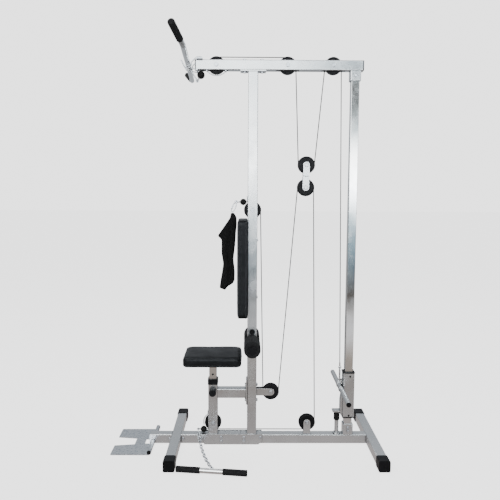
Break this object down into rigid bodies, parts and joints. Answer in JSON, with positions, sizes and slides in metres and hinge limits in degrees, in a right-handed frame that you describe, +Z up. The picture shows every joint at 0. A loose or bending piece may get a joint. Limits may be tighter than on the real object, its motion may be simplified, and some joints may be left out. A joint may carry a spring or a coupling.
{
  "type": "lat pulldown machine",
  "caption": "Plate-loaded lat pulldown and low row station with seat, back pad, leg rollers and a sliding weight carriage.",
  "frame": {"origin": "on the floor under the front upright, in the middle plane of the frame", "axes": "+X from the seat towards the weight carriage, +Z up, Y across the machine"},
  "size_m": [1.404, 1.204, 2.0792],
  "materials": {
    "silver_paint": "satin silver powder coat",
    "chrome_plate": "polished chrome plate",
    "zinc_steel": "zinc plated steel",
    "black_plastic": "black moulded plastic",
    "black_rubber": "black rubber",
    "black_foam": "black closed-cell foam",
    "black_vinyl": "black vinyl upholstery",
    "black_webbing": "black woven webbing",
    "cable": "clear coated steel cable"
  },
  "bodies": {
    "frame": {"base_tubes": "silver_paint", "joint_channel": "silver_paint", "foot_tubes": "silver_paint", "foot_end_caps": "black_plastic", "front_upright": "silver_paint", "top_beam": "silver_paint", "frame_flanges": "silver_paint", "rail_sockets": "silver_paint", "guide_rail": "chrome_plate", "seat_post_outer": "silver_paint", "seat_post_bush": "black_plastic", "cross_beam": "silver_paint", "low_pulley_arms": "silver_paint", "base_pulley_fork": "silver_paint", "frame_plugs": "black_plastic", "frame_bolts": "zinc_steel", "pulley_bolts": "zinc_steel", "cable_guards": "zinc_steel", "bar_hooks": "zinc_steel", "back_pad": "black_vinyl", "roller_axle": "chrome_plate", "bumper_post": "silver_paint", "bumper_rubber": "black_rubber", "foot_hinge_rod": "zinc_steel", "cable_top": "cable", "cable_low": "cable", "cable_block_runs": "cable", "cable_carriage_run": "cable"},
    "carriage": {"carriage_sleeve": "silver_paint", "carriage_bushes": "black_plastic", "weight_peg": "silver_paint", "carriage_bracket": "silver_paint"},
    "lat_cable": {"lat_cable_end": "black_rubber"},
    "lat_handle": {"lat_bar": "chrome_plate", "lat_bar_grips": "black_foam", "lat_link": "zinc_steel"},
    "block": {"floating_block": "silver_paint", "cable_block_bends": "cable"},
    "row_cable": {"row_cable_end": "black_rubber"},
    "row_handle": {"row_chain": "zinc_steel", "row_bar": "chrome_plate", "row_bar_grips": "black_foam"},
    "ab_handle": {"ab_cable_end": "black_rubber", "ab_link": "zinc_steel", "ab_strap": "black_webbing"},
    "seat": {"seat_post_inner": "chrome_plate", "seat_cushion": "black_vinyl"},
    "seat_pin": {"seat_pull_pin": "black_plastic"},
    "roller_near": {"leg_roller_near": "black_foam"},
    "roller_far": {"leg_roller_far": "black_foam"},
    "foot_rest": {"foot_plate": "zinc_steel"},
    "wheel_top_front": {"pulley_top_front": "black_plastic"},
    "wheel_top_middle": {"pulley_top_middle": "black_plastic"},
    "wheel_top_rear": {"pulley_top_rear": "black_plastic"},
    "wheel_block_upper": {"pulley_block_upper": "black_plastic"},
    "wheel_block_lower": {"pulley_block_lower": "black_plastic"},
    "wheel_upright": {"pulley_upright": "black_plastic"},
    "wheel_low_middle": {"pulley_low_middle": "black_plastic"},
    "wheel_base": {"pulley_base": "black_plastic"},
    "wheel_row": {"pulley_row": "black_plastic"}
  },
  "joints": [
    {"name": "carriage_slide", "type": "slide", "parent": "frame", "child": "carriage", "axis": [0, 0, 1], "range_m": [0, 0.95], "deforming": ["cable_carriage_run"]},
    {"name": "lat_pull", "type": "slide", "parent": "frame", "child": "lat_cable", "axis": [0, 0, -1], "range_m": [0, 0.95]},
    {"name": "lat_bar_swing", "type": "hinge", "parent": "lat_cable", "child": "lat_handle", "pos_m": [-0.2845, 0, 1.9155], "axis": [0, -1, 0], "range_deg": [0, 148.6]},
    {"name": "block_drop", "type": "slide", "parent": "frame", "child": "block", "axis": [0, 0, -1], "range_m": [0, 0.3], "deforming": ["cable_block_runs"]},
    {"name": "row_pull", "type": "slide", "parent": "frame", "child": "row_cable", "axis": [-0.7, 0, 0.7141], "range_m": [0, 0.55]},
    {"name": "row_handle_swing", "type": "hinge", "parent": "row_cable", "child": "row_handle", "pos_m": [-0.288, 0, 0.0745], "axis": [-0.4086, 0.3618, -0.8379], "range_deg": [0, 116]},
    {"name": "ab_pull", "type": "slide", "parent": "frame", "child": "ab_handle", "axis": [-1, 0, 0], "range_m": [0, 0.4]},
    {"name": "seat_height", "type": "slide", "parent": "frame", "child": "seat", "axis": [0, 0, 1], "range_m": [0, 0.06]},
    {"name": "seat_pin_pull", "type": "slide", "parent": "frame", "child": "seat_pin", "axis": [0, -1, 0], "range_m": [0, 0.01], "stiffness_N_per_m": 800},
    {"name": "roller_near_spin", "type": "hinge", "parent": "frame", "child": "roller_near", "pos_m": [0, -0.1, 0.56], "axis": [0, 1, 0], "continuous": true},
    {"name": "roller_far_spin", "type": "hinge", "parent": "frame", "child": "roller_far", "pos_m": [0, 0.1, 0.56], "axis": [0, 1, 0], "continuous": true},
    {"name": "foot_plate_fold", "type": "hinge", "parent": "frame", "child": "foot_rest", "pos_m": [-0.53, 0, 0.016], "axis": [0, 1, 0], "range_deg": [0, 75]},
    {"name": "top_front_pulley_turn", "type": "hinge", "parent": "frame", "child": "wheel_top_front", "pos_m": [-0.187, 0, 1.993], "axis": [0, -1, 0], "continuous": true},
    {"name": "top_middle_pulley_turn", "type": "hinge", "parent": "frame", "child": "wheel_top_middle", "pos_m": [0.175, 0, 1.993], "axis": [0, -1, 0], "continuous": true},
    {"name": "top_rear_pulley_turn", "type": "hinge", "parent": "frame", "child": "wheel_top_rear", "pos_m": [0.407, 0, 1.993], "axis": [0, -1, 0], "continuous": true},
    {"name": "block_upper_pulley_turn", "type": "hinge", "parent": "block", "child": "wheel_block_upper", "pos_m": [0.277, 0, 1.494], "axis": [0, -1, 0], "continuous": true},
    {"name": "block_lower_pulley_turn", "type": "hinge", "parent": "block", "child": "wheel_block_lower", "pos_m": [0.275, 0, 1.378], "axis": [0, -1, 0], "continuous": true},
    {"name": "upright_pulley_turn", "type": "hinge", "parent": "frame", "child": "wheel_upright", "pos_m": [0, 0, 1.261], "axis": [0, -1, 0], "continuous": true},
    {"name": "low_middle_pulley_turn", "type": "hinge", "parent": "frame", "child": "wheel_low_middle", "pos_m": [0.102, 0, 0.287], "axis": [0, -1, 0], "continuous": true},
    {"name": "base_pulley_turn", "type": "hinge", "parent": "frame", "child": "wheel_base", "pos_m": [0.299, 0, 0.116], "axis": [0, -1, 0], "continuous": true},
    {"name": "row_pulley_turn", "type": "hinge", "parent": "frame", "child": "wheel_row", "pos_m": [-0.208, 0, 0.116], "axis": [0, -1, 0], "continuous": true}
  ],
  "couplings": [
    {"joint": "lat_pull", "follows": "carriage_slide", "ratio": 1},
    {"joint": "lat_bar_swing", "follows": "carriage_slide", "rad_per_m": 2.7291},
    {"joint": "block_drop", "follows": "row_pull", "ratio": 0.5},
    {"joint": "row_handle_swing", "follows": "row_pull", "rad_per_m": 3.6588},
    {"joint": "top_front_pulley_turn", "follows": "carriage_slide", "rad_per_m": 24.096},
    {"joint": "top_middle_pulley_turn", "follows": "carriage_slide", "rad_per_m": 24.096},
    {"joint": "top_rear_pulley_turn", "follows": "carriage_slide", "rad_per_m": 24.096},
    {"joint": "block_upper_pulley_turn", "follows": "carriage_slide", "rad_per_m": -24.096},
    {"joint": "row_pulley_turn", "follows": "row_pull", "rad_per_m": -24.096},
    {"joint": "base_pulley_turn", "follows": "row_pull", "rad_per_m": -24.096},
    {"joint": "block_lower_pulley_turn", "follows": "row_pull", "rad_per_m": -12.048},
    {"joint": "upright_pulley_turn", "follows": "ab_pull", "rad_per_m": 24.096},
    {"joint": "low_middle_pulley_turn", "follows": "ab_pull", "rad_per_m": -24.096}
  ]
}
